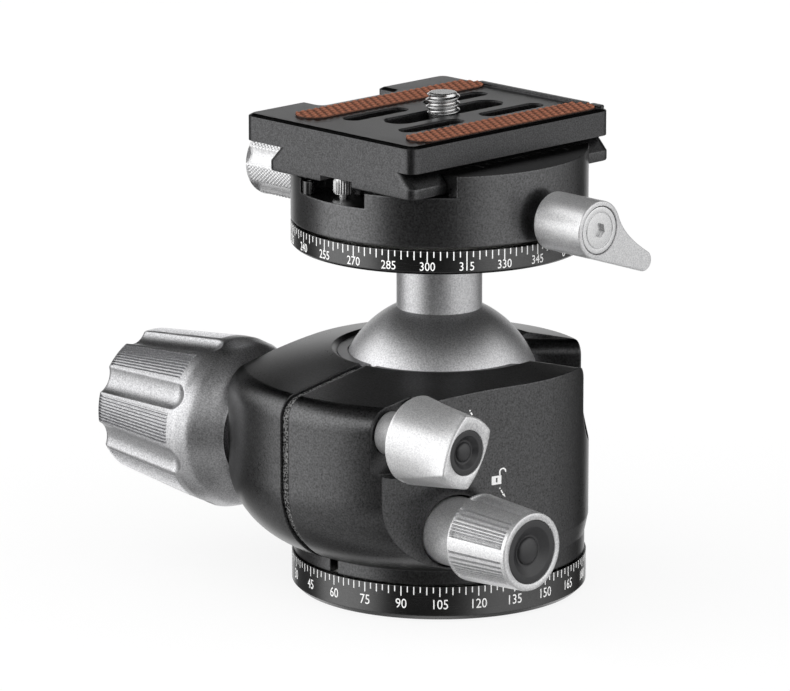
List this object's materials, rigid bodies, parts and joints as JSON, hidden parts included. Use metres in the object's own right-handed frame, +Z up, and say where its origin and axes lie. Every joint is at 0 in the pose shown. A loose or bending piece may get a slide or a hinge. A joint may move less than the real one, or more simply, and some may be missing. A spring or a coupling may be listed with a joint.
{
  "type": "tripod ball head",
  "caption": "Tripod ball head: panning base, split housing that clamps a swivelling ball, side knobs, and a panning dovetail clamp with a sliding quick-release camera plate.",
  "frame": {"origin": "centre of the base's bottom face, at the mouth of the tripod screw's thread", "axes": "+Z up through the ball and the camera screw, +Y along the dovetail, +X towards the small knobs and the locking lever"},
  "size_m": [0.0983, 0.0675, 0.0931],
  "materials": {
    "black_anodised": "satin black anodised, fine grain",
    "black_plate": "satin black anodised, fine grain",
    "dial_black": "satin black anodised with white engraved scale",
    "silver_anodised": "bead-blasted silver anodised",
    "titanium_grey": "bead-blasted grey anodised",
    "ball_silver": "fine bead-blasted hard anodised",
    "brass": "turned brass",
    "steel": "turned steel",
    "stainless": "turned stainless steel",
    "white_plastic": "low-friction plastic",
    "dark_rubber": "matt dark grey rubber",
    "slit_filler": "rough black foam rubber",
    "brown_rubber": "matt brown rubber with a diamond pattern"
  },
  "bodies": {
    "base": {"base_ring": "dial_black", "tripod_bush": "steel", "pan_spool": "brass", "spool_screws": "steel", "pan_washer": "white_plastic", "pan_retainer": "steel", "retainer_screws": "steel"},
    "housing": {"housing": "black_anodised", "slit_seal": "slit_filler", "rim_ring": "steel", "seat_spring": "steel", "clamp_stud": "steel", "thrust_washer": "steel", "pan_lock_shoe": "brass"},
    "main_knob": {"main_knob": "titanium_grey", "knob_nut": "brass", "main_knob_cap": "titanium_grey"},
    "friction_knob": {"friction_knob": "silver_anodised", "friction_screw": "steel", "friction_cap": "dark_rubber"},
    "pan_lock_knob": {"pan_lock_knob": "silver_anodised", "pan_lock_screw": "steel", "pan_lock_cap": "dark_rubber"},
    "seat": {"ball_seat": "white_plastic"},
    "ball": {"ball_stem": "ball_silver", "pan_scale_ring": "dial_black", "turret_hub": "brass", "turret_washer": "white_plastic", "turret_retainer": "steel", "stem_bolt": "steel"},
    "turret": {"turret": "black_anodised", "lock_tip": "brass", "jaw_springs": "steel", "stop_pin": "stainless", "pin_post": "steel"},
    "lever": {"lever_screw": "steel", "lever": "silver_anodised", "lever_cap": "silver_anodised"},
    "jaw": {"moving_jaw": "black_anodised", "guide_pins": "steel"},
    "clamp_knob": {"clamp_screw": "steel", "clamp_knob": "silver_anodised"},
    "plate": {"camera_plate": "black_plate", "rubber_pads": "brown_rubber", "stop_screws": "steel"},
    "screw_carrier": {"screw_clip": "steel"},
    "camera_screw": {"camera_screw": "stainless"}
  },
  "joints": [
    {"name": "base_pan", "type": "hinge", "parent": "base", "child": "housing", "pos_m": [0, 0, 0.01], "axis": [0, 0, 1], "continuous": true},
    {"name": "main_knob_turn", "type": "hinge", "parent": "housing", "child": "main_knob", "pos_m": [-0.04, -0.0226, 0.0288], "axis": [-1, 0, 0], "range_deg": [0, 270]},
    {"name": "friction_knob_turn", "type": "hinge", "parent": "housing", "child": "friction_knob", "pos_m": [0.03, -0.0306, 0.0374], "axis": [1, 0, 0], "range_deg": [-180, 180]},
    {"name": "pan_lock_turn", "type": "hinge", "parent": "housing", "child": "pan_lock_knob", "pos_m": [0.03, -0.0193, 0.0179], "axis": [1, 0, 0], "range_deg": [0, 180]},
    {"name": "ball_swivel", "type": "hinge", "parent": "housing", "child": "seat", "pos_m": [0, 0, 0.0356], "axis": [0, 0, 1], "range_deg": [-360, 0]},
    {"name": "ball_tilt", "type": "hinge", "parent": "seat", "child": "ball", "pos_m": [0, 0, 0.0356], "axis": [-0.7145, 0.6997, 0], "range_deg": [-32, 90]},
    {"name": "turret_pan", "type": "hinge", "parent": "ball", "child": "turret", "pos_m": [0, 0, 0.074], "axis": [0, 0, 1], "continuous": true},
    {"name": "lever_turn", "type": "hinge", "parent": "turret", "child": "lever", "pos_m": [0.03, 0, 0.0737], "axis": [1, 0, 0], "range_deg": [-90, 30]},
    {"name": "jaw_slide", "type": "slide", "parent": "turret", "child": "jaw", "axis": [-1, 0, 0], "range_m": [0, 0.0031]},
    {"name": "clamp_knob_turn", "type": "hinge", "parent": "jaw", "child": "clamp_knob", "pos_m": [-0.035, 0, 0.0737], "axis": [-1, 0, 0], "range_deg": [0, 1080]},
    {"name": "plate_slide", "type": "slide", "parent": "turret", "child": "plate", "axis": [0, 1, 0], "range_m": [-0.008, 0.008]},
    {"name": "screw_slide", "type": "slide", "parent": "plate", "child": "screw_carrier", "axis": [0, 1, 0], "range_m": [-0.0105, 0.011]},
    {"name": "camera_screw_turn", "type": "hinge", "parent": "screw_carrier", "child": "camera_screw", "pos_m": [0, 0.0008, 0.088], "axis": [0, 0, 1], "continuous": true}
  ],
  "couplings": [
    {"joint": "jaw_slide", "follows": "clamp_knob_turn", "m_per_rad": 0.00015915}
  ]
}
